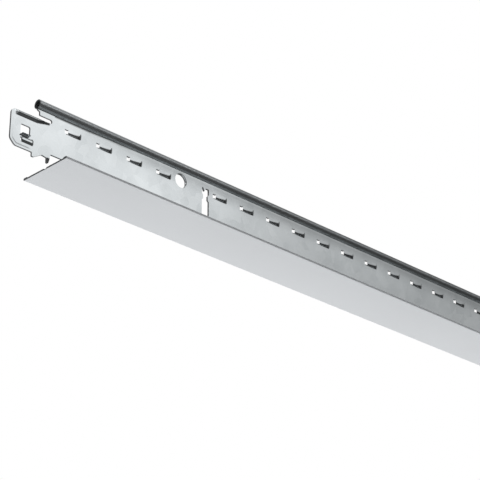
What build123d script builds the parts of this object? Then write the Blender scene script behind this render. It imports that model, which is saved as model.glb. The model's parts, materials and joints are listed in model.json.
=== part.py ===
from build123d import *
from math import floor, sqrt
import os

# Main tee of a suspended ceiling grid, in millimetres.
# X runs along the tee and Z is up from its exposed face. The origin is under the web at mid-length.

# Overall section
tee_length = 3600.0
face_width = 24.0
tee_height = 26.0
body_sheet = 0.35
face_sheet = 0.30

# Face strip, hemmed round the flange edges
hem_lip = 1.8
hem_clearance = 0.10
hem_radius = 0.25

# Folds of the body strip
root_bend = 0.40
bulb_width = 3.6
neck_radius = 0.3
bulb_foot = 0.2

# Slots for the cross tees, one in each module, and the hanger hole beside each
module = 300.0
slot_from_end = 75.8
slot_width = 3.6
slot_bottom = 5.0
slot_top = 19.8
slot_neck_width = 2.4
slot_neck_low = 15.2
slot_neck_high = 16.8
slot_tooth_width = 1.3
slot_tooth_drop = 1.5
slot_tooth_shift = -0.5
hanger_before_slot = 12.6
hanger_diameter = 5.8
hanger_height = 18.55

# Lanced stitches that lock the two layers of the web together
stitch_pitch = 14.4
stitch_from_end = 8.7
stitch_length = 6.3
stitch_height = 2.4
stitch_level = 18.1
stitch_rise = 0.65
stitch_ramp = 1.5
stitch_mouth = 1.0
stitch_margin = 0.8

# End connector: a tongue of the web that reaches past the flange
connector_reach = 15.8
connector_top = 18.4
connector_bottom = 4.2
connector_corner = 1.8
connector_bevel = 2.2
connector_sweep = 2.0
heel_reach = 6.6
heel_length = 1.0
heel_drop = 1.6
arch_reach = 1.8
arch_level = 4.7
hook_inset = 1.0
hook_drop = 2.0
hook_width = 0.8
hook_flank = 0.4
connector_round = 0.3
relief_length = 8.0
relief_top = 6.2
notch_height = 1.6
notch_inset = 1.9
upper_web_reach = 3.6
bulb_reach = 4.7

# Window and pressed features of the connector
window_reach = 11.6
window_width = 4.2
window_low = 9.8
window_height = 3.9
window_corner = 0.6
lip_depth = 1.3
lip_inset = 0.4
bead_reach = 14.2
bead_end = 1.0
bead_width = 2.0
bead_rise = 0.9
bead_edge = 0.05
bead_taper = 40.0
groove_width = 1.9
groove_depth = 0.9
latch_reach = 10.8
latch_length = 4.8
latch_low = 6.8
latch_height = 2.0
latch_rise = 0.65
latch_ramp = 1.6

# Levels and half sizes that follow from the sizes above
half_length = tee_length / 2
flange_top = face_sheet + body_sheet
flange_half = face_width / 2 - face_sheet - hem_clearance
root_outer = root_bend + body_sheet
root_level = face_sheet + root_outer
web_foot = root_level + body_sheet
bulb_radius = bulb_width / 2
bulb_level = tee_height - bulb_radius
neck_reach = body_sheet + neck_radius
neck_span = bulb_radius + neck_radius
neck_level = bulb_level - sqrt(neck_span ** 2 - neck_reach ** 2)
web_top = neck_level - bulb_foot


def from_end(distance):
    """X of a point that lies a distance inside the flange's left end."""
    return distance - half_length


def across(edges):
    """Face across the tee from an outline whose points are (y, z)."""
    return Plane.YZ * make_face(edges)


def bend_arc(side, radius):
    """Quarter arc of a root bend, from the web's side to the flange's side."""
    centre = Vector(side * root_outer, root_level)
    middle = centre + Vector(-side, -1).normalized() * radius
    return ThreePointArc(centre - Vector(side * radius, 0), middle, centre - Vector(0, radius))


def flange_halves():
    """Both halves of the flange with the bends that turn them up into the web."""
    edges = [Line((-body_sheet, web_foot), (body_sheet, web_foot))]
    for side in (-1, 1):
        edges.append(bend_arc(side, root_outer))
        edges.append(bend_arc(side, root_bend))
        edges.append(Polyline((side * root_outer, face_sheet), (side * flange_half, face_sheet),
                              (side * flange_half, flange_top), (side * root_outer, flange_top)))
        edges.append(Line((side * body_sheet, root_level), (side * body_sheet, web_foot)))
    return extrude(across(edges), half_length, both=True)


def bulb_outline(skin):
    """Arcs of the bulb's teardrop, moved inwards by a skin, from one layer of the web to the other."""
    radius = bulb_radius - skin
    flare = neck_radius + skin
    tangent = Vector(neck_reach, neck_level - bulb_level) * (radius / neck_span)
    edges = [ThreePointArc((-tangent.X, bulb_level + tangent.Y), (0, bulb_level + radius),
                           (tangent.X, bulb_level + tangent.Y))]
    for side in (-1, 1):
        centre = Vector(side * neck_reach, neck_level)
        foot = Vector(side * (body_sheet - skin), neck_level)
        head = Vector(side * tangent.X, bulb_level + tangent.Y)
        middle = centre + ((foot - centre).normalized() + (head - centre).normalized()).normalized() * flare
        edges.append(ThreePointArc(foot, middle, head))
    return edges


def bulb():
    """Hollow bulb that stiffens the top of the web, open at both ends."""
    foot = Polyline((-body_sheet, neck_level), (-body_sheet, web_top), (body_sheet, web_top),
                    (body_sheet, neck_level))
    skin = across(bulb_outline(0) + [foot]) - across(bulb_outline(body_sheet))
    return extrude(skin, half_length + bulb_reach, both=True)


def connector_outline():
    """Left end of the web: tongue, notch under the bulb, heel, hook and relief over the flange."""
    notch_top = connector_top + notch_height
    notch_round = 0.45 * notch_height
    heel_low = connector_bottom - heel_drop
    hook_low = arch_level - hook_drop
    hook_end = hook_inset + hook_width / 2
    corners = [
        (relief_length, web_top, 0),
        (-upper_web_reach, web_top, 0),
        (-upper_web_reach, notch_top, 0),
        (notch_inset, notch_top, notch_round),
        (notch_inset, connector_top, notch_round),
        (-connector_reach, connector_top, connector_corner),
        (-connector_reach, connector_bottom + connector_bevel, connector_sweep),
        (connector_bevel - connector_reach, connector_bottom, connector_sweep),
        (-heel_reach, connector_bottom, 0),
        (-heel_reach, heel_low, 0),
        (heel_length - heel_reach, heel_low, 0),
        (-arch_reach, arch_level, connector_round),
        (hook_inset - hook_width / 2 - hook_flank, arch_level, connector_round),
        (hook_inset - hook_width / 2, hook_low, connector_round),
        (hook_end, hook_low, connector_round),
        (hook_end + hook_flank, relief_top, 0),
        (relief_length, relief_top, 0),
    ]
    points = [(from_end(x), z) for x, z, _ in corners]
    return make_face(FilletPolyline(*points, radius=[r for _, _, r in corners], close=True))


def connector_window():
    """See-through window of the left connector."""
    middle = (from_end(window_width / 2 - window_reach), window_low + window_height / 2)
    return Pos(*middle) * RectangleRounded(window_width, window_height, window_corner)


def slot():
    """Cross-tee slot about its middle: a straight slot with a neck, and a tooth in its top."""
    half = slot_width / 2
    neck = slot_neck_width / 2
    step = half - neck
    tooth_low = slot_tooth_shift - slot_tooth_width / 2
    tooth_high = slot_tooth_shift + slot_tooth_width / 2
    return make_face(Polyline(
        (half, slot_bottom), (half, slot_neck_low - step), (neck, slot_neck_low), (neck, slot_neck_high),
        (half, slot_neck_high + step), (half, slot_top), (tooth_high, slot_top),
        (slot_tooth_shift, slot_top - slot_tooth_drop), (tooth_low, slot_top), (-half, slot_top),
        (-half, slot_neck_high + step), (-neck, slot_neck_high), (-neck, slot_neck_low),
        (-half, slot_neck_low - step), (-half, slot_bottom), close=True))


def slot_places():
    """Distances of the slots from the left end, one in each module that the tee holds."""
    count = floor((tee_length - slot_from_end - slot_width) / module) + 1
    return [slot_from_end + i * module for i in range(count)]


def is_clear(start):
    """Whether a stitch that starts here keeps its margin to every slot and hanger hole."""
    for place in slot_places():
        low = place - hanger_before_slot - hanger_diameter / 2 - stitch_margin
        high = place + slot_width / 2 + stitch_margin
        if start - stitch_mouth < high and start + stitch_length > low:
            return False
    return True


def stitch_places():
    """Distances of the stitches from the left end, on one pitch, left out beside the holes."""
    room = tee_length - stitch_from_end - stitch_length - stitch_margin
    starts = [stitch_from_end + i * stitch_pitch for i in range(floor(room / stitch_pitch) + 1)]
    return [start for start in starts if is_clear(start)]


def lance(layer_y, length, height, rise, ramp):
    """Raised block in front of a layer, square at its left end and ramped at its right."""
    side_view = Polyline((0, layer_y), (0, layer_y - rise), (length - ramp, layer_y - rise),
                         (length, layer_y), close=True)
    return extrude(make_face(side_view), height / 2, both=True)


def lance_pocket(length, height, rise, ramp):
    """Space behind a lanced tab, and the see-through mouth where the tab is sheared off at its left."""
    mouth = Box(stitch_mouth, 2 * body_sheet, height, align=(Align.MAX, Align.CENTER, Align.CENTER))
    return mouth + lance(body_sheet, length, height, rise, ramp)


def bead(layer_y, width, depth):
    """Round-ended bar pressed towards the front from a layer, along the connector's top edge."""
    length = bead_reach + bead_end
    level = connector_top - bead_edge - bead_width / 2
    bar = extrude(Plane.XZ * SlotOverall(length, width), depth, taper=bead_taper)
    return Pos(from_end(bead_end - length / 2), layer_y, level) * bar


def window_lip():
    """Tab turned out towards the front along the window's lower edge."""
    width = window_width - 2 * lip_inset
    tab = Box(width, lip_depth, body_sheet, align=(Align.MIN, Align.MAX, Align.MAX))
    return Pos(from_end(lip_inset - window_reach), -body_sheet, window_low) * tab


def web_plate():
    """Double web with both connectors' outlines, the cross-tee slots and the hanger holes."""
    end = connector_outline() - connector_window()
    middle = Pos(0, web_foot) * Rectangle(
        tee_length - 2 * relief_length, web_top - web_foot, align=(Align.CENTER, Align.MIN))
    outline = middle + end + mirror(end, Plane.YZ)
    holes = [Pos(from_end(place), 0) * slot() for place in slot_places()]
    holes += [Pos(from_end(place - hanger_before_slot), hanger_height) * Circle(hanger_diameter / 2)
              for place in slot_places()]
    return extrude(Plane.XZ * (outline - holes), body_sheet, both=True)


def both_ends(shape):
    """A shape at the left end and the same one turned half round for the right end."""
    return [shape, shape.rotate(Axis.Z, 180)]


def tee_body():
    """Body strip: flange halves, double web, bulb, connectors and stitches as one folded piece."""
    relief = Pos(from_end(0), 0, flange_top) * Box(
        relief_length, 2 * root_outer, relief_top - flange_top, align=(Align.MIN, Align.CENTER, Align.MIN))
    body = flange_halves() - both_ends(relief)
    stitch = lance(-body_sheet, stitch_length, stitch_height, stitch_rise, stitch_ramp)
    pocket = lance_pocket(stitch_length, stitch_height, stitch_rise, stitch_ramp)
    places = [Pos(from_end(start), 0, stitch_level) for start in stitch_places()]
    latch_at = Pos(from_end(-latch_reach), 0, latch_low + latch_height / 2)
    latch = latch_at * lance(-body_sheet, latch_length, latch_height, latch_rise, latch_ramp)
    latch_pocket = latch_at * lance_pocket(latch_length, latch_height, latch_rise, latch_ramp)
    raised = [place * stitch for place in places]
    raised += both_ends(latch) + both_ends(window_lip()) + both_ends(bead(-body_sheet, bead_width, bead_rise))
    sunk = [place * pocket for place in places]
    sunk += both_ends(latch_pocket) + both_ends(bead(body_sheet, groove_width, groove_depth))
    body += [web_plate(), bulb()]
    body += raised
    return body - sunk


def face_cap():
    """Coated face strip, folded up over both flange edges and hemmed down on top of them."""
    half = face_width / 2
    hem_top = flange_top + face_sheet
    outer = Pos(0, hem_top / 2) * RectangleRounded(face_width, hem_top, hem_radius)
    room = Pos(0, face_sheet + body_sheet / 2) * Rectangle(2 * (half - face_sheet), body_sheet)
    gap = Pos(0, face_sheet + hem_top / 2) * Rectangle(2 * (half - hem_lip), hem_top)
    return extrude(Plane.YZ * (outer - room - gap), half_length, both=True)


os.makedirs("parts", exist_ok=True)
export_step(tee_body(), "parts/tee_body.step")
export_step(face_cap(), "parts/face_cap.step")
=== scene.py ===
import json
import math

import bpy
import numpy as np
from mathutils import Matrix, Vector
from mathutils.geometry import delaunay_2d_cdt


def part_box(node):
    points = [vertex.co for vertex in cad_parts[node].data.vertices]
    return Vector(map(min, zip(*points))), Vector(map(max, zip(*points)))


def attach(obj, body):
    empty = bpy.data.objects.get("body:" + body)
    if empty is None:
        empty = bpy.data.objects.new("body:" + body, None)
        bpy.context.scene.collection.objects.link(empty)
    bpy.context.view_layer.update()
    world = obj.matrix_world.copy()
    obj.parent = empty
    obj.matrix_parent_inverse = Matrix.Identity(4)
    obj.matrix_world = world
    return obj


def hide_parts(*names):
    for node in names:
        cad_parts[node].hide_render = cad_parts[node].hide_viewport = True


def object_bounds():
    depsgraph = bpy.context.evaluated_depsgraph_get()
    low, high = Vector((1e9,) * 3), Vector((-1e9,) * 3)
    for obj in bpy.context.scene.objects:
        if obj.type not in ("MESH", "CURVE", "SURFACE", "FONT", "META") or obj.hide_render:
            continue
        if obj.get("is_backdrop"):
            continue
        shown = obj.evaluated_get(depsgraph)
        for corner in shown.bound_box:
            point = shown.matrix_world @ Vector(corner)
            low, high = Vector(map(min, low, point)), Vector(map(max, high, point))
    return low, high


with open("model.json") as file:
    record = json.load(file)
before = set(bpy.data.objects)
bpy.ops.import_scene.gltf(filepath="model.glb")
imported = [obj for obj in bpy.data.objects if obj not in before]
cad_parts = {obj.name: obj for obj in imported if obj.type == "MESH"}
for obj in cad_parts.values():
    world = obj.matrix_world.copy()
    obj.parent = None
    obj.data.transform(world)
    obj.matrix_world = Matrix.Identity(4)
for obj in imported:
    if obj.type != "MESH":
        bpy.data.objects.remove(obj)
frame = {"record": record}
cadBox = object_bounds()
print("frame loaded")

mm = 0.001
hair = 1e-6                 # millimetres within which two places count as one
jointDecimals = 4           # patches are joined where their places agree to this many decimals
creaseAngle = 38            # degrees past which an edge between two faces stays sharp
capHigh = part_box("face_cap")[1]
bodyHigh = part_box("tee_body")[1]
holes = [m for m in frame["record"]["mounts"] if m["name"].startswith("hanger_hole")]

# sizes in millimetres, the outer ones from the frame
tee = {
    "halfLength": round(capHigh.x / mm, 3),
    "halfFace": round(capHigh.y / mm, 3),
    "height": round(bodyHigh.z / mm, 3),
    "connectorReach": round((bodyHigh.x - capHigh.x) / mm, 3),
    "holePlaces": [round(m["pos_m"][0] / mm, 3) for m in holes],
    "holeLevel": round(holes[0]["pos_m"][2] / mm, 3),
    "holeRadius": holes[0]["dims"]["r_mm"],
    "sheet": 0.34,          # one layer of the body strip
    "layerMiddle": 0.18,    # from the middle of the web to the middle of a layer
    "capSheet": 0.29,
    "bulbWidth": 3.6,
    "flareRadius": 0.3,     # outer face of the flare under the bulb
    "stationStep": 150,     # between the stations of the bulb and the flange
}


# points and outward normals along the middle of a rolled sheet, in (y, z): straight runs, and round bends in
# facets of at most the finest angle
def rollPath(start, heading, moves, finest=9.0):
    points, normals = [np.array([start])], []
    angle = math.radians(heading)
    normals.append(np.array([[math.sin(angle), -math.cos(angle)]]))
    for kind, *sizes in moves:
        here = points[-1][-1]
        if kind == "run":
            ahead = np.array([[math.cos(angle), math.sin(angle)]])
            points.append(here + ahead * sizes[0])
            normals.append(normals[-1][-1:])
        else:
            radius, turn = sizes[0], math.radians(sizes[1])
            side = math.copysign(1.0, turn)
            centre = here + radius * side * np.array([-math.sin(angle), math.cos(angle)])
            count = max(2, math.ceil(abs(sizes[1]) / finest))
            along = angle + turn * np.arange(1, count + 1) / count
            points.append(centre + radius * side * np.stack([np.sin(along), -np.cos(along)], 1))
            normals.append(np.stack([np.sin(along), -np.cos(along)], 1))
            angle += turn
    return np.concatenate(points), np.concatenate(normals)


# two triangles for each kept cell of a grid of points, numbered row after row
def gridTriangles(nu, nv, keep=None):
    u, v = np.meshgrid(np.arange(nu - 1), np.arange(nv - 1), indexing="ij")
    if keep is not None:
        u, v = u[keep], v[keep]
    a = (u * nv + v).ravel()
    b, c, d = a + nv, a + nv + 1, a + 1
    return np.concatenate([np.stack([a, b, c], 1), np.stack([a, c, d], 1)])


# solid sheet: an outer face, an inner face, and a wall along every edge that only one triangle uses, all
# turned outwards by the sign of the volume they enclose
def closeSheet(outer, inner, triangles):
    count = len(outer)
    edges = np.concatenate([triangles[:, [0, 1]], triangles[:, [1, 2]], triangles[:, [2, 0]]])
    lone = ~np.isin(edges[:, 0] * count + edges[:, 1], edges[:, 1] * count + edges[:, 0])
    a, b = edges[lone].T
    walls = np.concatenate([np.stack([b, a, a + count], 1), np.stack([b, a + count, b + count], 1)])
    faces = np.concatenate([triangles, triangles[:, ::-1] + count, walls])
    cut = np.arange(len(faces)) >= 2 * len(triangles)
    points = np.concatenate([outer, inner])
    corners = points[faces]
    volume = np.einsum("ij,ij->", corners[:, 0], np.cross(corners[:, 1], corners[:, 2]))
    if volume < 0:
        faces = faces[:, ::-1]
    return points, faces, cut


# strip carried along X: each station repeats the path, and the two faces lie half a thickness either side
def sweepStrip(path, normals, thickness, stations, keep=None):
    x = np.repeat(stations, len(path))
    middle = np.tile(path, (len(stations), 1))
    offset = np.tile(normals, (len(stations), 1)) * thickness / 2
    outer = np.column_stack([x, middle + offset])
    inner = np.column_stack([x, middle - offset])
    return closeSheet(outer, inner, gridTriangles(len(stations), len(path), keep))


# joins solids into one Blender mesh in metres, with the cut edges on the second material
def makePiece(name, solids, materials, node):
    points, faces, cuts, total = [], [], [], 0
    for solidPoints, solidFaces, cut in solids:
        used, index = np.unique(solidFaces, return_inverse=True)
        points.append(solidPoints[used])
        faces.append(index.reshape(-1, 3) + total)
        cuts.append(cut)
        total += len(used)
    mesh = bpy.data.meshes.new(name)
    mesh.from_pydata(np.concatenate(points) * mm, [], np.concatenate(faces))
    for material in materials:
        mesh.materials.append(material)
    mesh.polygons.foreach_set("material_index", np.concatenate(cuts).astype(np.int32))
    mesh.polygons.foreach_set("use_smooth", np.ones(len(mesh.polygons), bool))
    mesh.set_sharp_from_angle(angle=math.radians(creaseAngle))
    mesh.validate()
    piece = bpy.data.objects.new(name, mesh)
    bpy.context.scene.collection.objects.link(piece)
    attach(piece, "root")
    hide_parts(node)
    print(name, len(mesh.polygons), "triangles")


# values from low to high, evenly spaced and no further apart than the step
def evenSteps(low, high, step):
    return np.linspace(low, high, max(2, math.ceil((high - low) / step) + 1))


# levels and middle radii of the folds at the top, where the flare's arc touches the bulb's
bulbRadius = tee["bulbWidth"] / 2
bulbLevel = tee["height"] - bulbRadius
bulbMiddle = bulbRadius - tee["sheet"] / 2
flareMiddle = tee["flareRadius"] + tee["sheet"] / 2
flareReach = tee["layerMiddle"] + flareMiddle
flareLevel = bulbLevel - math.sqrt((bulbRadius + tee["flareRadius"]) ** 2 - flareReach ** 2)
flareTurn = math.acos(flareReach / (bulbRadius + tee["flareRadius"]))
webTop = flareLevel + flareMiddle * flareTurn

web = {
    "foot": 1.4,
    "reliefLength": 8.0,
    "reliefTop": 6.5,
    "slotAfterHole": 12.6,
    "holeCell": 3.6,        # half width of the patch round a hanger hole
    "holeSides": 48,
    "holeRim": 0.42,        # width of the rim that the punch draws out of the back layer
    "holeDraw": 0.4,
    "slotCell": 2.5,        # half width of the patch round a slot
    "slotCellLow": 4.0,
    "slotStep": 1.2,        # between points along its straight sides
    "cellSpread": 0.8,      # share of a patch's half width that its loose columns cover
    "cellColumns": 7,
    "cellClear": 0.15,      # no loose point nearer than this to an opening
    "plainStep": 15,        # between columns on plain stretches
    "seamClear": 0.3,       # no column nearer than this to a connector's seam
    "breakClear": 0.02,
    "stitchPitch": 14.4,
    "stitchFromEnd": 9.4,
    "stitchLength": 5.6,
    "stitchHeight": 2.4,
    "stitchLevel": 18.2,
    "stitchRise": 0.55,
    "stitchWall": 0.24,     # width of a tab's steep upper side
    "stitchWallLow": 0.7,   # width of its lower side at the far end
    "wallStart": 0.45,      # share of that width at the mouth
    "stitchRamp": 0.6,      # at the upper edge
    "stitchTaper": 1.2,     # how much longer it is at the lower edge
    "taperHigh": 0.2,       # share of the half height above the middle where the taper starts
    "rampShares": (1.0, 0.75, 0.5),     # columns over the long end of the ramp
    "middleRow": 0.1,
    "wallRows": (4, 3),     # over the lower and the upper side
    "stitchMouth": 1.8,
    "mouthHalf": 0.75,
    "mouthSlant": 0.97,     # the sheared edge over a mouth slants back through both layers
    "guard": 0.12,          # narrow flat margin round a tab that keeps its shading off the flat web
    "stitchMargin": 0.8,    # beside a hole or a slot
    "stitchLead": 1.0,
    "leanLow": 15.0,        # above this the layers part a little, away from the pressed ends
    "leanRow": 1.0,
    "leanSlope": 0.05,
    "leanStart": (14.0, 45.0),
    "foldRows": 4,          # from the tabs to the flare, and again round the flare
}
# levels between which a tab's mouth is open
mouthLow = web["stitchLevel"] - web["stitchHeight"] / 2 + web["stitchWallLow"] / 3
mouthHigh = web["stitchLevel"] + web["mouthHalf"]


# smooth step from 0 at low to 1 at high: three times the square of the share less twice its cube
def easeIn(value, low, high):
    t = np.clip((value - low) / (high - low), 0, 1)
    return t * t * (3 - 2 * t)


# closed outline from corners (x, z, radius): each round corner is an arc tangent to both of its sides, in
# facets of at most the finest angle
def filletLoop(corners, finest=12.0):
    places = np.array([c[:2] for c in corners], float)
    loop = []
    for i, (*_, radius) in enumerate(corners):
        here = places[i]
        back = places[i - 1] - here
        ahead = places[(i + 1) % len(corners)] - here
        back, ahead = back / np.linalg.norm(back), ahead / np.linalg.norm(ahead)
        half = math.acos(np.clip(back @ ahead, -1, 1)) / 2
        if radius == 0:
            loop.append(here[None])
            continue
        away = (back + ahead) / np.linalg.norm(back + ahead)
        centre = here + away * radius / math.sin(half)
        first = here + back * radius / math.tan(half) - centre
        last = here + ahead * radius / math.tan(half) - centre
        turn = math.pi - 2 * half
        count = max(2, math.ceil(math.degrees(turn) / finest))
        t = np.arange(count + 1)[:, None] / count
        blend = np.sin((1 - t) * turn) * first + np.sin(t * turn) * last
        loop.append(centre + blend / math.sin(turn))
    return np.concatenate(loop)


# distance from each point to the nearest side of a closed outline, positive inside
def depthIn(points, loop):
    a, b = loop, np.roll(loop, -1, axis=0)
    side = b - a
    t = np.einsum("pij,ij->pi", points[:, None] - a, side) / np.einsum("ij,ij->i", side, side)
    near = a + np.clip(t, 0, 1)[..., None] * side
    gap = np.linalg.norm(points[:, None] - near, axis=2).min(1)
    crosses = (a[:, 1] > points[:, None, 1]) != (b[:, 1] > points[:, None, 1])
    rise = np.where(side[:, 1] == 0, 1.0, side[:, 1])
    reach = a[:, 0] + (points[:, None, 1] - a[:, 1]) * side[:, 0] / rise
    inside = (crosses & (points[:, None, 0] < reach)).sum(1) % 2 == 1
    return np.where(inside, 1, -1) * gap


# points spaced evenly along the straight sides of a closed outline, corners kept
def spaceOut(loop, step):
    ahead = np.roll(loop, -1, axis=0)
    parts = []
    for a, b in zip(loop, ahead):
        count = max(1, math.ceil(np.linalg.norm(b - a) / step))
        parts.append(a + (b - a) * np.arange(count)[:, None] / count)
    return np.concatenate(parts)


# triangles that fill the first outline around the others and use every loose point, without the slivers that
# lie on the outline itself
def fillOutline(loops, loose, sliver=1e-5):
    points = np.concatenate(loops + [loose])
    edges, total = [], 0
    for loop in loops:
        index = np.arange(len(loop)) + total
        edges += list(zip(index.tolist(), np.roll(index, -1).tolist()))
        total += len(loop)
    corners = [Vector(p) for p in points - points.mean(0)]
    result = delaunay_2d_cdt(corners, edges, [], 0, sliver, True)
    given = np.array([ids[0] for ids in result[3]])
    triangles = given[np.array(result[2])]
    middles = points[triangles].mean(1)
    keep = depthIn(middles, loops[0]) > sliver
    for loop in loops[1:]:
        keep &= depthIn(middles, loop) < 0
    return points, triangles[keep]


# triangles turned to face the same way round
def turnAlike(points, triangles):
    a, b, c = points[triangles].transpose(1, 0, 2)
    area = (b[:, 0] - a[:, 0]) * (c[:, 1] - a[:, 1]) - (b[:, 1] - a[:, 1]) * (c[:, 0] - a[:, 0])
    return np.where((area > 0)[:, None], triangles, triangles[:, ::-1])


# joins patches of (points, push, triangles) where their points meet
def weldPatches(patches):
    points = np.concatenate([p[0] for p in patches])
    push = np.concatenate([p[1] for p in patches])
    starts = np.cumsum([0] + [len(p[0]) for p in patches[:-1]])
    triangles = np.concatenate([p[2] + s for p, s in zip(patches, starts)])
    rounded = np.round(points, jointDecimals)
    _, first, index = np.unique(rounded, axis=0, return_index=True, return_inverse=True)
    triangles = index.ravel()[triangles]
    a, b, c = triangles.T
    triangles = triangles[(a != b) & (b != c) & (c != a)]
    return points[first], push[first], turnAlike(points[first], triangles)


# rows through the tabs, close over their upper and lower walls
def tabRows():
    half, low, high = web["stitchHeight"] / 2, web["stitchWallLow"], web["stitchWall"]
    lowCount, highCount = web["wallRows"]
    off = np.concatenate([[-half - web["guard"]], low * np.linspace(0, 1, lowCount) - half,
                          [web["middleRow"], web["mouthHalf"]],
                          half - high * np.linspace(1, 0, highCount), [half + web["guard"]]])
    return web["stitchLevel"] + off


# rows up the web: sparse on flat stretches, close through the tabs, the lean and the flare
def webRows():
    tab = tabRows()
    flat = [web["foot"], web["slotCellLow"], web["reliefTop"], web["leanLow"],
            web["leanLow"] + web["leanRow"]]
    lean = np.linspace(tab[-1], flareLevel, web["foldRows"])[1:-1]
    return np.concatenate([flat, tab, lean, np.linspace(flareLevel, webTop, web["foldRows"])])


# each slot stands the same distance after its hanger hole
def slotPlaces():
    return [place + web["slotAfterHole"] for place in tee["holePlaces"]]


# starts of the stitches: one pitch along the whole tee, left out beside each hole and slot
def stitchStarts():
    first = web["stitchFromEnd"] - tee["halfLength"]
    last = tee["halfLength"] - web["stitchLength"] - web["stitchMargin"]
    starts = np.arange(first, last, web["stitchPitch"])
    low = np.array(tee["holePlaces"]) - tee["holeRadius"] - web["stitchMargin"]
    high = np.array(slotPlaces()) + slotShape["halfWidth"] + web["stitchMargin"]
    blocked = (starts[:, None] - web["stitchLead"] < high) & (starts[:, None] + web["stitchLength"] > low)
    return starts[~blocked.any(1)]


# push of a row of stitches: smooth steps up over the walls, the lower one widening along the tab, times a
# straight ramp down at the far end, which is longer lower down
def stitchPush(x, s, starts):
    half, off = web["stitchHeight"] / 2, s - web["stitchLevel"]
    along = x[:, None] - starts
    tab = (along > -hair) & (along < web["stitchLength"])
    share = (along * tab).sum(1) / web["stitchLength"]
    wall = web["stitchWallLow"] * (web["wallStart"] + (1 - web["wallStart"]) * share)
    across = easeIn(off, -half, wall - half) * (1 - easeIn(off, half - web["stitchWall"], half))
    ramp = web["stitchRamp"] + web["stitchTaper"] * np.clip(web["taperHigh"] - off / half, 0, 1)[:, None]
    down = np.clip((along - web["stitchLength"] + ramp) / ramp, 0, 1)
    return web["stitchRise"] * (tab * (1 - down)).sum(1) * across


# grid of the web's columns and rows, left open where cut says
def gridPatch(columns, rows, starts, cut):
    xs, ss = np.meshgrid(columns, rows, indexing="ij")
    midX, midS = np.meshgrid((columns[1:] + columns[:-1]) / 2, (rows[1:] + rows[:-1]) / 2, indexing="ij")
    points = np.stack([xs.ravel(), ss.ravel()], 1)
    triangles = gridTriangles(len(columns), len(rows), ~cut(midX, midS))
    return points, stitchPush(points[:, 0], points[:, 1], starts), triangles


# strip between a row of close columns and a row of sparse ones, from low to high along the web
def bridgePatch(close, sparse, closeRow, sparseRow, low, high):
    a = close[(close > low - hair) & (close < high + hair)]
    b = sparse[(sparse > low - hair) & (sparse < high + hair)][::-1]
    outline = np.concatenate([np.stack([a, np.full(len(a), closeRow)], 1),
                              np.stack([b, np.full(len(b), sparseRow)], 1)])
    points, triangles = fillOutline([outline], np.zeros((0, 2)))
    return points, np.zeros(len(points)), triangles


# stretch of the web between the connectors: sparse columns below and above the tabs, close ones through them
def middlePatches(rows):
    starts = stitchStarts()
    length, ramp = web["stitchLength"], web["stitchRamp"]
    longRamp = ramp + web["stitchTaper"]
    marks = [-web["stitchMouth"] - web["guard"], -web["stitchMouth"], -web["guard"], 0]
    marks += [length - longRamp * share for share in web["rampShares"]]
    marks += [length - ramp, length - ramp / 2, length, length + web["guard"]]
    edge = tee["halfLength"] - connector["patchEnd"]
    relief = tee["halfLength"] - web["reliefLength"]
    openings = [(x, web["holeCell"], web["reliefTop"]) for x in tee["holePlaces"]]
    openings += [(x, web["slotCell"], web["slotCellLow"]) for x in slotPlaces()]
    breaks = sorted([x + side * half for x, half, _ in openings for side in (-1, 1)])

    def clearOf(columns):
        kept = np.unique(np.round(columns[np.abs(columns) < edge - web["seamClear"]], jointDecimals))
        inside = np.zeros(len(kept), bool)
        for place, half, _ in openings:
            inside |= (kept > place - half - web["breakClear"]) & (kept < place + half + web["breakClear"])
        fixed = [-edge, -relief, relief, edge]
        return np.unique(np.round(np.concatenate([kept[~inside], breaks, fixed]), jointDecimals))

    sparse = clearOf(evenSteps(-edge, edge, web["plainStep"]))
    close = clearOf(np.concatenate([sparse, (starts[:, None] + np.array(marks)).ravel()]))

    def atOpening(x, s):
        cut = (np.abs(x) > relief) & (s < web["reliefTop"])
        for place, half, low in openings:
            cut |= (np.abs(x - place) < half) & (s > low) & (s < flareLevel)
        return cut

    def atMouth(x, s):
        ahead = x[..., None] - starts
        mouth = ((ahead > -web["stitchMouth"]) & (ahead < 0)).any(-1)
        return atOpening(x, s) | (mouth & (s > mouthLow) & (s < mouthHigh))

    tab = tabRows()
    below, above = rows[rows < tab[0] - hair], rows[rows > tab[-1] + hair]
    patches = [gridPatch(sparse, below, starts, atOpening), gridPatch(close, tab, starts, atMouth),
               gridPatch(sparse, above, starts, atOpening)]
    ends = [-edge] + breaks + [edge]
    for low, high in zip(ends[::2], ends[1::2]):
        patches.append(bridgePatch(close, sparse, tab[0], below[-1], low, high))
        patches.append(bridgePatch(close, sparse, tab[-1], above[0], low, high))
    return patches


slotShape = {
    "halfWidth": 1.8, "halfNeck": 1.2, "bottom": 5.0, "neckLow": 15.2, "neckHigh": 16.8, "top": 19.8,
    "toothShift": -0.5, "toothHalf": 0.65, "toothDrop": 1.5,
    "round": 0.35, "footRound": 0.6, "toothRound": 0.12, "toothSide": 0.2,
    "leftShare": 0.7,       # how tight the upper left corner is beside the others
    "finest": 20.0,
}


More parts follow.
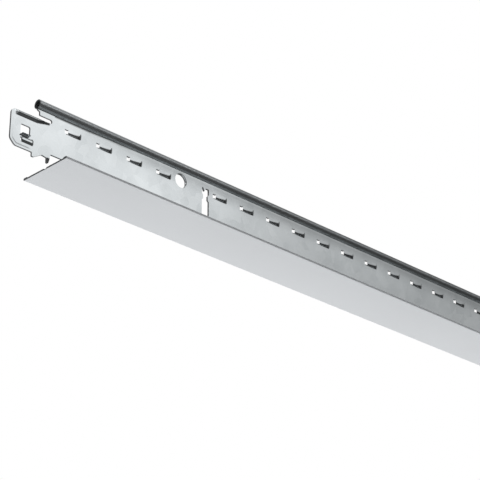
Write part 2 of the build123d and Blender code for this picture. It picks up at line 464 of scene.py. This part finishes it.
# keyed slot's outline: a long body and a short head joined by a narrower neck, and a tooth that hangs from
# the top
def slotOutline(place):
    s = slotShape
    step = s["halfWidth"] - s["halfNeck"]
    low, high = s["toothShift"] - s["toothHalf"], s["toothShift"] + s["toothHalf"]
    r, foot, tooth = s["round"], s["footRound"], s["toothRound"]
    corners = [(s["halfWidth"], s["bottom"], foot), (s["halfWidth"], s["neckLow"] - step, r),
               (s["halfNeck"], s["neckLow"], r), (s["halfNeck"], s["neckHigh"], r),
               (s["halfWidth"], s["neckHigh"] + step, r), (s["halfWidth"], s["top"], r),
               (high, s["top"], s["toothSide"]), (s["toothShift"], s["top"] - s["toothDrop"], tooth),
               (low, s["top"], tooth), (-s["halfWidth"], s["top"], r * s["leftShare"]),
               (-s["halfWidth"], s["neckHigh"] + step, r), (-s["halfNeck"], s["neckHigh"], r),
               (-s["halfNeck"], s["neckLow"], r), (-s["halfWidth"], s["neckLow"] - step, r),
               (-s["halfWidth"], s["bottom"], foot)]
    return filletLoop([(place + x, z, radius) for x, z, radius in corners], s["finest"])


# circle of a hanger hole
def holeOutline(place):
    turn = np.linspace(0, 2 * np.pi, web["holeSides"], endpoint=False)
    return np.stack([place + tee["holeRadius"] * np.cos(turn),
                     tee["holeLevel"] + tee["holeRadius"] * np.sin(turn)], 1)


# how far the punch draws the back layer out round the hanger holes: in full at the edge, nothing past the rim
def holeDraw(points):
    off = np.abs(points[:, 0][:, None] - np.array(tee["holePlaces"])).min(1)
    gap = np.hypot(off, points[:, 1] - tee["holeLevel"]) - tee["holeRadius"]
    return web["holeDraw"] * (1 - easeIn(gap, 0, web["holeRim"]))


# patch round an opening, filled from its outline out to a straight border that shares the web's rows; loops
# of loose points, halfway over the rim and at its outer edge, carry its draw
def openingPatch(outline, place, half, low, rows, rim=0):
    side = rows[(rows > low - hair) & (rows < flareLevel + hair)]
    border = np.concatenate([np.stack([np.full(len(side), place + half), side], 1),
                             np.stack([np.full(len(side), place - half), side[::-1]], 1)])
    levels = side[side > web["leanLow"]][:-1]
    across = np.linspace(-web["cellSpread"], web["cellSpread"], web["cellColumns"])
    xs, ss = np.meshgrid(place + half * across, levels, indexing="ij")
    loose = np.stack([xs.ravel(), ss.ravel()], 1)
    if rim:
        middle = np.array([place, tee["holeLevel"]])
        loose = np.concatenate([loose] + [middle + (outline - middle) * (1 + share * rim / tee["holeRadius"])
                                          for share in (0.5, 1.0)])
    loose = loose[depthIn(loose, outline) < -web["cellClear"]]
    points, triangles = fillOutline([border, outline], loose)
    return points, np.zeros(len(points)), triangles


connector = {
    "patchEnd": 3.0,
    "cell": 0.27,
    "rimShare": 1.3,        # spacing along the outlines, in cells
    "clearShare": 0.6,      # no loose point nearer than this to an outline, in cells
    "top": 18.5,
    "bottom": 4.5,
    "corner": 1.8,
    "bevel": 2.2,
    "sweep": 2.0,
    "round": 0.3,
    "heelReach": 6.2,
    "heelLength": 0.9,
    "heelDrop": 1.6,
    "archReach": 1.8,
    "archLevel": 5.0,
    "archDip": 0.3,
    "hookInset": 1.0,
    "hookDrop": 2.0,
    "hookWidth": 0.8,
    "hookFlank": 0.4,
    "hookFold": 0.4,        # how far under the arch the hook starts to bend
    "hookBend": 0.27,
    "hookHalf": 1.2,
    "notchHeight": 1.6,
    "notchInset": 1.9,
    "notchShare": 0.45,     # radius of the notch's end beside its height
    "upperReach": 3.6,
    "shoulderDrop": 0.7,
    "bulbReach": 4.7,
    "neckDrop": 0.25,
    "windowReach": 11.6,
    "windowWidth": 4.2,
    "windowLow": 9.8,
    "windowHeight": 3.9,
    "windowCorner": 0.6,
    "lipDepth": 1.5,
    "lipInset": 0.4,
    "lipBend": 0.6,
    "lipRoot": 1.0,
    "lipGap": 0.01,
    "beadReach": 14.2,
    "beadEnd": 1.2,
    "beadWidth": 1.9,
    "beadRise": 0.6,
    "beadFlank": 0.8,
    "beadEdge": (0.35, 0.12),       # under the connector's top
    "beadBlend": 0.8,
    "beadTail": 1.5,
    "thinReach": 6.0,       # from here inwards the bead grows thinner and lower
    "thinRise": 1.1,
    "thinFall": 0.4,
    "latchReach": 10.8,
    "latchLength": 4.8,
    "latchLow": 6.9,
    "latchHigh": 9.0,
    "latchFlank": 0.65,
    "latchEdge": 0.3,
    "latchRise": 0.32,
    "latchRamp": 0.35,
    "latchMouth": (0.3, 1.7),       # over the latch's lower edge
    "latchMouthLength": 0.7,
    "rimWidth": 0.95,
    "rimStep": 0.022,
    "rimBlend": 0.3,
    "panelReach": (8.5, 6.0),
    "panelTop": (14.5, 16.0),
}


# left connector's outline, closed by a straight seam with the web
def connectorLoop(rows):
    c = connector
    edge = -tee["halfLength"]
    reach = tee["connectorReach"]
    notchTop = c["top"] + c["notchHeight"]
    notchRound = c["notchShare"] * c["notchHeight"]
    heelLow = c["bottom"] - c["heelDrop"]
    hookLow = c["archLevel"] - c["hookDrop"]
    hookLeft, hookRight = c["hookInset"] - c["hookWidth"] / 2, c["hookInset"] + c["hookWidth"] / 2
    seam = rows[rows > web["reliefTop"] - hair]
    r = c["round"]
    corners = [(c["patchEnd"], level, 0) for level in seam]
    corners += [(-c["bulbReach"], webTop, 0), (-c["bulbReach"], flareLevel - c["neckDrop"], r),
                (-c["upperReach"], flareLevel - c["shoulderDrop"], r), (-c["upperReach"], notchTop, r),
                (c["notchInset"], notchTop, notchRound), (c["notchInset"], c["top"], notchRound),
                (-reach, c["top"], c["corner"]), (-reach, c["bottom"] + c["bevel"], c["sweep"]),
                (c["bevel"] - reach, c["bottom"], c["sweep"]), (-c["heelReach"], c["bottom"], r),
                (-c["heelReach"], heelLow, r), (c["heelLength"] - c["heelReach"], heelLow, r),
                (-c["archReach"], c["archLevel"], r),
                (hookLeft - c["hookFlank"], c["archLevel"] - c["archDip"], r),
                (hookLeft, hookLow, r), (hookRight, hookLow, r),
                (hookRight + c["hookFlank"], web["reliefTop"], r)]
    return filletLoop([(edge + x, z, radius) for x, z, radius in corners])


# rectangle of the window, with round corners
def windowLoop():
    c = connector
    left = -tee["halfLength"] - c["windowReach"]
    right = left + c["windowWidth"]
    low, high = c["windowLow"], c["windowLow"] + c["windowHeight"]
    r = c["windowCorner"]
    return filletLoop([(left, low, r), (right, low, r), (right, high, r), (left, high, r)])


# push of the connector, as sums and products of smooth steps: a bead and a latch like long stitches, a panel
# raised inside the rim, less a hook bent back in a straight slope
def connectorPush(points, gap):
    c = connector
    x, z = points[:, 0] + tee["halfLength"], points[:, 1]
    thin = easeIn(x, -c["thinReach"], c["beadEnd"])
    low = c["top"] - c["beadWidth"] + c["thinRise"] * thin
    edgeLow, edgeHigh = [c["top"] - drop for drop in c["beadEdge"]]
    bead = easeIn(z, low, low + c["beadFlank"]) * (1 - easeIn(z, edgeLow, edgeHigh))
    bead *= easeIn(x, -c["beadReach"], c["beadBlend"] - c["beadReach"])
    bead *= 1 - easeIn(x, c["beadEnd"] - c["beadTail"], c["beadEnd"])
    along = x + c["latchReach"]
    latch = easeIn(z, c["latchLow"], c["latchLow"] + c["latchFlank"])
    latch *= 1 - easeIn(z, c["latchHigh"] - c["latchEdge"], c["latchHigh"])
    latch *= (along > -hair) * (1 - easeIn(along, c["latchLength"] - c["latchRamp"], c["latchLength"]))
    atRim = easeIn(gap, c["rimWidth"] - c["rimBlend"] / 2, c["rimWidth"] + c["rimBlend"] / 2)
    panelFar, panelNear = c["panelReach"]
    panel = c["rimStep"] * atRim * (1 - easeIn(x, -panelFar, -panelNear)) * (1 - easeIn(z, *c["panelTop"]))
    hook = c["hookBend"] * np.maximum(c["archLevel"] - c["hookFold"] - z, 0)
    hook *= np.abs(x - c["hookInset"]) < c["hookHalf"]
    return c["beadRise"] * (1 - c["thinFall"] * thin) * bead + c["latchRise"] * latch + panel - hook


# small open mouth at the steep end of the latch
def latchMouth():
    c = connector
    right = -tee["halfLength"] - c["latchReach"]
    left = right - c["latchMouthLength"]
    low, high = [c["latchLow"] + over for over in c["latchMouth"]]
    return np.array([[left, low], [right, low], [right, high], [left, high]])


# connector patch: its outlines filled with a close grid, and its seam's points only on the web's rows
def connectorPatch(rows):
    c = connector
    outline, window = connectorLoop(rows), windowLoop()
    rim = spaceOut(outline, c["cell"] * c["rimShare"])
    seam = np.abs(rim[:, 0] - c["patchEnd"] + tee["halfLength"]) < hair
    onRow = np.abs(rim[:, 1][:, None] - rows).min(1) < hair
    rim = rim[~seam | onRow]
    loops = [rim, spaceOut(window, c["cell"] * c["rimShare"]), spaceOut(latchMouth(), c["cell"])]
    x = evenSteps(outline[:, 0].min(), outline[:, 0].max(), c["cell"])
    s = evenSteps(outline[:, 1].min(), outline[:, 1].max(), c["cell"])
    xs, ss = np.meshgrid(x, s, indexing="ij")
    loose = np.stack([xs.ravel(), ss.ravel()], 1)
    clear = depthIn(loose, outline) > c["clearShare"] * c["cell"]
    clear &= depthIn(loose, window) < -c["clearShare"] * c["cell"]
    points, triangles = fillOutline(loops, loose[clear])
    return points, connectorPush(points, depthIn(points, outline)), triangles


# the same patch at the tee's other end, pushed the other way
def mirrorPatch(patch):
    points, push, triangles = patch
    return points * np.array([-1, 1]), -push, triangles[:, ::-1]


# outward lean of a layer: a parabola up to the flare, then given back as the flare itself opens
def layerLean(points, turn):
    span = flareLevel - web["leanLow"]
    up = np.clip(points[:, 1] - web["leanLow"], 0, span)
    lean = web["leanSlope"] * up * up / (2 * span)
    fromEnd = tee["halfLength"] - np.abs(points[:, 0])
    return lean * (1 - (1 - np.cos(turn)) / (1 - math.cos(flareTurn))) * easeIn(fromEnd, *web["leanStart"])


# marks the points on the sheared edge of each tab, beside its mouth
def mouthEdge(points, near=1e-3):
    onStart = (np.abs(points[:, 0][:, None] - stitchStarts()) < near).any(1)
    return onStart & (points[:, 1] > mouthLow - near) & (points[:, 1] < mouthHigh + near)


# a layer's points from their places on the sheet: straight up the web, then round the flare, with the holes'
# rims drawn out of the back layer, and all pushed to the front
def layerSheet(points, push, triangles, side):
    half = tee["sheet"] / 2
    turn = np.maximum(points[:, 1] - flareLevel, 0) / flareMiddle
    straight = np.minimum(points[:, 1], flareLevel)
    y = tee["layerMiddle"] + flareMiddle * (1 - np.cos(turn)) + layerLean(points, turn)
    z = straight + flareMiddle * np.sin(turn)
    outer = np.stack([points[:, 0], side * (y + half * np.cos(turn)), z - half * np.sin(turn)], 1)
    inner = np.stack([points[:, 0], side * (y - half * np.cos(turn)), z + half * np.sin(turn)], 1)
    if side > 0:
        outer[:, 1] += holeDraw(points)
        inner[:, 1] += holeDraw(points)
    for face in (outer, inner):
        face[:, 0] += web["mouthSlant"] * mouthEdge(points) * (face[:, 1] - tee["layerMiddle"] - half)
        face[:, 1] -= push
    return closeSheet(outer, inner, triangles)


rows = webRows()
left = connectorPatch(rows)
patches = middlePatches(rows) + [left, mirrorPatch(left)]
patches += [openingPatch(holeOutline(x), x, web["holeCell"], web["reliefTop"], rows, web["holeRim"])
            for x in tee["holePlaces"]]
patches += [openingPatch(spaceOut(slotOutline(x), web["slotStep"]), x, web["slotCell"], web["slotCellLow"],
                         rows) for x in slotPlaces()]
sheet = weldPatches(patches)
print("web laid out", len(sheet[2]), "triangles")


# a new node material with its nodes, its links and its shader
def newMaterial(name):
    material = bpy.data.materials.new(name)
    material.use_nodes = True
    nodes = material.node_tree.nodes
    return material, nodes, material.node_tree.links, nodes["Principled BSDF"]


# places a node and sets its inputs by name, or by number as i0, i1 and so on; an input given a socket is
# linked to it
def addNode(nodes, links, kind, settings=None, **inputs):
    node = nodes.new(kind)
    for key, value in (settings or {}).items():
        setattr(node, key, value)
    for key, value in inputs.items():
        socket = node.inputs[int(key[1:])] if key[0] == "i" and key[1:].isdigit() else node.inputs[key]
        if isinstance(value, bpy.types.NodeSocket):
            links.new(value, socket)
        else:
            socket.default_value = value
    return node


# a value carried in a straight line from one range to another
def mapRange(nodes, links, value, before, after=(0.0, 1.0)):
    ends = dict(zip(("From Min", "From Max", "To Min", "To Max"), (*before, *after)))
    return addNode(nodes, links, "ShaderNodeMapRange", Value=value, **ends).outputs[0]


steel = {
    "colour": (0.745, 0.78, 0.795),
    "dark": (0.635, 0.67, 0.685),
    "roughness": 0.13,
    "bulbRoughness": 0.33,
    # factor on the bulb's steel colours: painted shade, the same metal made darker to stand in for the shade
    # the bulb lies in
    "bulbPaintedShade": 0.85,
    "roughSpread": (-0.03, 0.04),
    "roughRange": (0.3, 0.7),
    "spangle": 260.0,
    "spangleShare": 0.35,
    "blendRange": (0.35, 0.95),
    "rollAcross": 2200.0,
    "rollAlong": 14.0,
    "rollDetail": 3.0,
    "rollBump": 0.0000025,
    "rollStrength": 0.5,
    "smudge": 38.0,
    "smudgeDetail": 5.0,
}


# galvanised steel: fine spangle, drawn-out roll lines and faint smudges over a metal base; a shade factor
# below 1 scales both base colours down, a painted shade that makes a darker copy of the same steel
def galvanisedSteel(name, roughness, shade=1.0):
    s = steel
    material, nodes, links, shader = newMaterial(name)
    place = addNode(nodes, links, "ShaderNodeTexCoord").outputs["Object"]
    spangle = addNode(nodes, links, "ShaderNodeTexVoronoi", Vector=place, Scale=s["spangle"])
    drawn = addNode(nodes, links, "ShaderNodeMapping", Vector=place,
                    Scale=(s["rollAlong"], s["rollAcross"], s["rollAcross"]))
    roll = addNode(nodes, links, "ShaderNodeTexNoise", Vector=drawn.outputs[0], Scale=1.0,
                   Detail=s["rollDetail"])
    smudge = addNode(nodes, links, "ShaderNodeTexNoise", Vector=place, Scale=s["smudge"],
                     Detail=s["smudgeDetail"])
    cells = addNode(nodes, links, "ShaderNodeSeparateColor", Color=spangle.outputs["Color"])
    share = addNode(nodes, links, "ShaderNodeMath", {"operation": "MULTIPLY_ADD"}, i0=cells.outputs[0],
                    i1=s["spangleShare"], i2=smudge.outputs["Fac"])
    # base colours times the shade factor: painted shade wherever that factor is below 1
    colour = addNode(nodes, links, "ShaderNodeMix", {"data_type": "RGBA"},
                     Factor=mapRange(nodes, links, share.outputs[0], s["blendRange"]),
                     i6=(*[shade * c for c in s["colour"]], 1), i7=(*[shade * c for c in s["dark"]], 1))
    rough = mapRange(nodes, links, smudge.outputs["Fac"], s["roughRange"],
                     [roughness + spread for spread in s["roughSpread"]])
    bump = addNode(nodes, links, "ShaderNodeBump", Strength=s["rollStrength"], Distance=s["rollBump"],
                   Height=roll.outputs["Fac"])
    links.new(colour.outputs[2], shader.inputs["Base Color"])
    links.new(rough, shader.inputs["Roughness"])
    links.new(bump.outputs[0], shader.inputs["Normal"])
    shader.inputs["Metallic"].default_value = 1.0
    return material


cutEdge = {"colour": (0.12, 0.123, 0.127), "roughness": (0.4, 0.6), "grain": 3000.0}


# cut edge of a sheet: dark bare metal with a fine grain
def cutMetal():
    c = cutEdge
    material, nodes, links, shader = newMaterial("cut_edge")
    place = addNode(nodes, links, "ShaderNodeTexCoord").outputs["Object"]
    grain = addNode(nodes, links, "ShaderNodeTexNoise", Vector=place, Scale=c["grain"])
    rough = mapRange(nodes, links, grain.outputs["Fac"], (0.0, 1.0), c["roughness"])
    links.new(rough, shader.inputs["Roughness"])
    shader.inputs["Base Color"].default_value = (*c["colour"], 1)
    shader.inputs["Metallic"].default_value = 1.0
    return material


paint = {
    "colour": (0.71, 0.735, 0.76),
    "roughness": 0.38,
    "grain": 1500.0,
    "grainDetail": 2.0,
    "grainBump": 0.000003,
    "grainStrength": 0.6,
    "mottle": 22.0,
    "mottleDetail": 4.0,
    "mottleTone": (0.95, 1.04),
}


# coated face: pale paint with a faint mottle and grain
def coatedFace():
    p = paint
    material, nodes, links, shader = newMaterial("coated_face_skin")
    place = addNode(nodes, links, "ShaderNodeTexCoord").outputs["Object"]
    grain = addNode(nodes, links, "ShaderNodeTexNoise", Vector=place, Scale=p["grain"],
                    Detail=p["grainDetail"])
    mottle = addNode(nodes, links, "ShaderNodeTexNoise", Vector=place, Scale=p["mottle"],
                     Detail=p["mottleDetail"])
    bump = addNode(nodes, links, "ShaderNodeBump", Strength=p["grainStrength"], Distance=p["grainBump"],
                   Height=grain.outputs["Fac"])
    value = mapRange(nodes, links, mottle.outputs["Fac"], (0.0, 1.0), p["mottleTone"])
    tone = addNode(nodes, links, "ShaderNodeVectorMath", {"operation": "SCALE"}, i0=p["colour"], Scale=value)
    links.new(tone.outputs[0], shader.inputs["Base Color"])
    links.new(bump.outputs[0], shader.inputs["Normal"])
    shader.inputs["Roughness"].default_value = p["roughness"]
    return material


cutSkin, faceSkin = cutMetal(), coatedFace()
metal = [galvanisedSteel("galvanised_sheet", steel["roughness"]), cutSkin]
# the bulb's copy of the steel: rougher, and its colours darkened as painted shade
bulbMetal = [galvanisedSteel("galvanised_bulb_painted_shade", steel["bulbRoughness"], steel["bulbPaintedShade"]), cutSkin]
print("materials mixed")


# window lip: a short strip that leaves its layer in a round bend and stands straight out; side 1 is the left
# end's, on the front layer, and side -1 the right end's, on the back one
def windowLip(side):
    c = connector
    out = c["lipDepth"] - c["lipBend"] - tee["sheet"]
    root = (-tee["layerMiddle"] - c["lipGap"], c["windowLow"] - c["lipBend"] - c["lipRoot"])
    path, normals = rollPath(root, 90, [("run", c["lipRoot"]), ("bend", c["lipBend"], 90), ("run", out)])
    reach = np.array([c["windowReach"] - c["lipInset"],
                      c["windowReach"] - c["windowWidth"] + c["lipInset"]]) + tee["halfLength"]
    return sweepStrip(path * [side, 1], normals * [side, 1], tee["sheet"], -side * reach)


lips = {-1: [windowLip(1)], 1: [windowLip(-1)]}
for side, name in ((-1, "web_front"), (1, "web_back")):
    makePiece(name, [layerSheet(*sheet, side)] + lips[side], metal, "tee_body")

# bulb: one arc of the sheet from the back flare over the top to the front flare
bulbEnd = tee["halfLength"] + connector["bulbReach"]
bulbFoot = (bulbMiddle * math.cos(flareTurn), bulbLevel - bulbMiddle * math.sin(flareTurn))
flareDegrees = math.degrees(flareTurn)
bulbPath = rollPath(bulbFoot, 90 - flareDegrees, [("bend", bulbMiddle, 180 + 2 * flareDegrees)])
bulbStations = evenSteps(-bulbEnd, bulbEnd, tee["stationStep"])
makePiece("bulb", [sweepStrip(*bulbPath, tee["sheet"], bulbStations)], bulbMetal,
          "tee_body")

# flange halves: down from the web, round the root bend and out to the hem; the root is cut back at the ends
flange = {"rootLevel": 1.05, "rootMiddle": 0.575, "half": 11.6}
run = flange["half"] - tee["layerMiddle"] - flange["rootMiddle"]
path, normals = rollPath((tee["layerMiddle"], web["foot"]), -90,
                         [("run", web["foot"] - flange["rootLevel"]), ("bend", flange["rootMiddle"], 90),
                          ("run", run)])
inner = tee["halfLength"] - web["reliefLength"]
stations = np.concatenate([[-tee["halfLength"]], evenSteps(-inner, inner, tee["stationStep"]),
                           [tee["halfLength"]]])
atEnd = np.abs((stations[1:] + stations[:-1]) / 2) > inner
inRoot = (path[1:, 0] + path[:-1, 0]) / 2 < tee["layerMiddle"] + flange["rootMiddle"]
for side, name in ((-1, "flange_near"), (1, "flange_far")):
    strip = sweepStrip(path * [side, 1], normals * [side, 1], tee["sheet"], stations,
                       ~(atEnd[:, None] & inRoot[None]))
    makePiece(name, [strip], metal, "tee_body")

# face strip: flat face, a half-turn at each edge and a lip hemmed down on the flange
hem = {"lip": 1.8, "bend": 0.325, "middle": 0.15, "stationStep": 100}
flat = tee["halfFace"] - hem["middle"] - hem["bend"]
lipRun = hem["lip"] - hem["middle"] - hem["bend"]
path, normals = rollPath((-flat + lipRun, hem["middle"] + 2 * hem["bend"]), 180,
                         [("run", lipRun), ("bend", hem["bend"], 180), ("run", 2 * flat),
                          ("bend", hem["bend"], 180), ("run", lipRun)])
capStations = evenSteps(-tee["halfLength"], tee["halfLength"], hem["stationStep"])
makePiece("face_strip", [sweepStrip(path, normals, tee["capSheet"], capStations)], [faceSkin, cutSkin],
          "face_cap")


# a profile's value for a number socket: straight lines through its points
def profile(nodes, links, value, points):
    first, last = points[0][0], points[-1][0]
    highest = max(v for _, v in points)
    ramp = addNode(nodes, links, "ShaderNodeValToRGB", Fac=mapRange(nodes, links, value, (first, last)))
    stops = ramp.color_ramp.elements
    for i, (place, level) in enumerate(points):
        at = (place - first) / (last - first)
        stop = stops[i] if i < 2 else stops.new(at)
        stop.position = at
        stop.color = (level / highest,) * 3 + (1,)
    scaled = addNode(nodes, links, "ShaderNodeMath", {"operation": "MULTIPLY"}, i0=ramp.outputs[0],
                     i1=highest)
    return scaled.outputs[0]


# brightness of the surroundings as soft windows: each is one profile round the tee's length, from the front
# (0) over the top (90) to the back (180) in degrees, times one along it, by the direction's X component
windows = {
    "webBand": {        # mirrored by the flat web
        "around": [(-180, 0.08), (0, 0.065), (26.5, 0.07), (32, 0.92), (35.5, 1.05), (38.5, 1.05), (43, 0.12),
                   (180, 0.07)],
        "along": [(-1.0, 0.9), (0.0, 0.9), (0.50, 1.08), (0.55, 1.05), (0.61, 1.10), (0.65, 0.58),
                  (0.69, 0.70), (0.715, 0.50), (1.0, 0.40)]},
    "topBand": {        # mirrored by the top of the bulb
        "around": [(-180, 0.0), (45, 0.0), (60, 0.25), (80, 0.32), (110, 0.36), (146, 0.9), (165, 0.9),
                   (180, 0.0)],
        "along": [(-1.0, 0.3), (-0.4, 0.3), (0.0, 0.9), (0.45, 1.4), (0.54, 1.1), (0.59, 0.35), (0.64, 0.15),
                  (1.0, 0.1)]},
    "steepGlow": {      # mirrored by what faces steeply down, near the left end
        "around": [(-180, 0.0), (-118, 0.0), (-98, 1.0), (-80, 1.0), (-65, 0.0), (180, 0.0)],
        "along": [(-1.0, 0.0), (0.50, 0.0), (0.512, 1.0), (0.535, 1.0), (0.56, 0.1), (0.60, 0.0),
                  (1.0, 0.0)]},
    "panelStrip": {     # mirrored by what faces a little to the left
        "around": [(-180, 0.0), (5, 0.0), (18, 1.3), (37, 1.3), (44, 0.0), (180, 0.0)],
        "along": [(-1.0, 0.0), (0.1, 0.0), (0.2, 1.0), (0.34, 1.0), (0.4, 0.0), (1.0, 0.0)]},
    "floorGlow": {      # lights the face from below
        "around": [(-180, 1.2), (-150, 1.3), (-100, 1.15), (-80, 0.0), (165, 0.0), (180, 1.2)],
        "along": [(-1.0, 1.0), (1.0, 1.0)]},
    "topFill": {        # for views from above
        "around": [(-180, 0.0), (45, 0.0), (70, 0.8), (135, 0.8), (160, 0.0), (180, 0.0)],
        "along": [(-1.0, 0.0), (-0.5, 0.0), (-0.3, 1.0), (0.0, 1.0), (0.25, 0.0), (1.0, 0.0)]},
    "frontFill": {      # for views from the front
        "around": [(-180, 0.0), (-110, 0.0), (-85, 0.2), (60, 0.2), (90, 0.1), (130, 0.0), (180, 0.0)],
        "along": [(-1.0, 1.0), (-0.1, 1.0), (0.2, 0.8), (0.38, 0.0), (1.0, 0.0)]},
}


# world: white behind the object, and for the light the sum of the windows
def lightWorld():
    world = bpy.data.worlds.new("studio")
    world.use_nodes = True
    bpy.context.scene.world = world
    nodes, links = world.node_tree.nodes, world.node_tree.links
    nodes.clear()
    heading = addNode(nodes, links, "ShaderNodeTexCoord").outputs["Generated"]
    axes = addNode(nodes, links, "ShaderNodeSeparateXYZ", Vector=heading)
    front = addNode(nodes, links, "ShaderNodeMath", {"operation": "MULTIPLY"}, i0=axes.outputs["Y"], i1=-1.0)
    turn = addNode(nodes, links, "ShaderNodeMath", {"operation": "ARCTAN2"}, i0=axes.outputs["Z"],
                   i1=front.outputs[0])
    degrees = addNode(nodes, links, "ShaderNodeMath", {"operation": "DEGREES"}, i0=turn.outputs[0])
    total = 0.0
    for window in windows.values():
        share = addNode(nodes, links, "ShaderNodeMath", {"operation": "MULTIPLY_ADD"},
                        i0=profile(nodes, links, degrees.outputs[0], window["around"]),
                        i1=profile(nodes, links, axes.outputs["X"], window["along"]), i2=total)
        total = share.outputs[0]
    seen = addNode(nodes, links, "ShaderNodeLightPath").outputs["Is Camera Ray"]
    glow = addNode(nodes, links, "ShaderNodeMix", {"data_type": "FLOAT"}, Factor=seen)
    links.new(total, glow.inputs[2])
    glow.inputs[3].default_value = 1.0
    background = addNode(nodes, links, "ShaderNodeBackground", Color=(1, 1, 1, 1), Strength=glow.outputs[0])
    output = addNode(nodes, links, "ShaderNodeOutputWorld")
    links.new(background.outputs[0], output.inputs["Surface"])


floorSkin = {"reach": 12.0, "drop": 0.0005, "grey": 0.93, "roughness": 0.8}       # metres


# floor seen only from above, so that the photographed view from below passes through it
def layFloor():
    reach, grey = floorSkin["reach"], floorSkin["grey"]
    mesh = bpy.data.meshes.new("floor")
    level = cadBox[0].z - floorSkin["drop"]
    corners = [(-reach, -reach, level), (reach, -reach, level), (reach, reach, level), (-reach, reach, level)]
    mesh.from_pydata(corners, [], [(0, 1, 2, 3)])
    material, nodes, links, shader = newMaterial("floor_pale")
    behind = addNode(nodes, links, "ShaderNodeNewGeometry").outputs["Backfacing"]
    clear = addNode(nodes, links, "ShaderNodeBsdfTransparent")
    mix = addNode(nodes, links, "ShaderNodeMixShader", i0=behind, i1=shader.outputs[0], i2=clear.outputs[0])
    links.new(mix.outputs[0], nodes["Material Output"].inputs["Surface"])
    shader.inputs["Base Color"].default_value = (grey, grey, grey, 1)
    shader.inputs["Roughness"].default_value = floorSkin["roughness"]
    mesh.materials.append(material)
    floor = bpy.data.objects.new("floor", mesh)
    bpy.context.scene.collection.objects.link(floor)
    floor.visible_diffuse = floor.visible_glossy = floor.visible_transmission = False
    floor.visible_shadow = False
    floor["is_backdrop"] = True


# metres, degrees and millimetres of lens
view = {
    "place": (-2.1142, -0.4179, -0.2738),
    "azimuth": 44.36,       # from straight at the tee's front towards +X
    "elevation": 25.46,
    "lens": 127.02,
    "sensor": 36.0,
    "nearest": 0.01,
}


# unit direction from an azimuth turned from -Y towards +X and an elevation, in degrees
def direction(azimuth, elevation):
    a, e = math.radians(azimuth), math.radians(elevation)
    return Vector((math.sin(a) * math.cos(e), -math.cos(a) * math.cos(e), math.sin(e)))


# camera below the tee's left end, looking up and along it
def placeCamera():
    camera = bpy.data.objects.new("camera", bpy.data.cameras.new("camera"))
    bpy.context.scene.collection.objects.link(camera)
    camera.data.lens = view["lens"]
    camera.data.sensor_width = view["sensor"]
    camera.data.clip_start = view["nearest"]
    camera.location = view["place"]
    ahead = direction(180 - view["azimuth"], view["elevation"])
    camera.rotation_euler = ahead.to_track_quat("-Z", "Y").to_euler()
    bpy.context.scene.camera = camera


lightWorld()
layFloor()
placeCamera()
bpy.context.scene.view_settings.view_transform = "Standard"
print("surroundings placed")

sizes = [[list(corner) for corner in bounds] for bounds in (cadBox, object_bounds())]
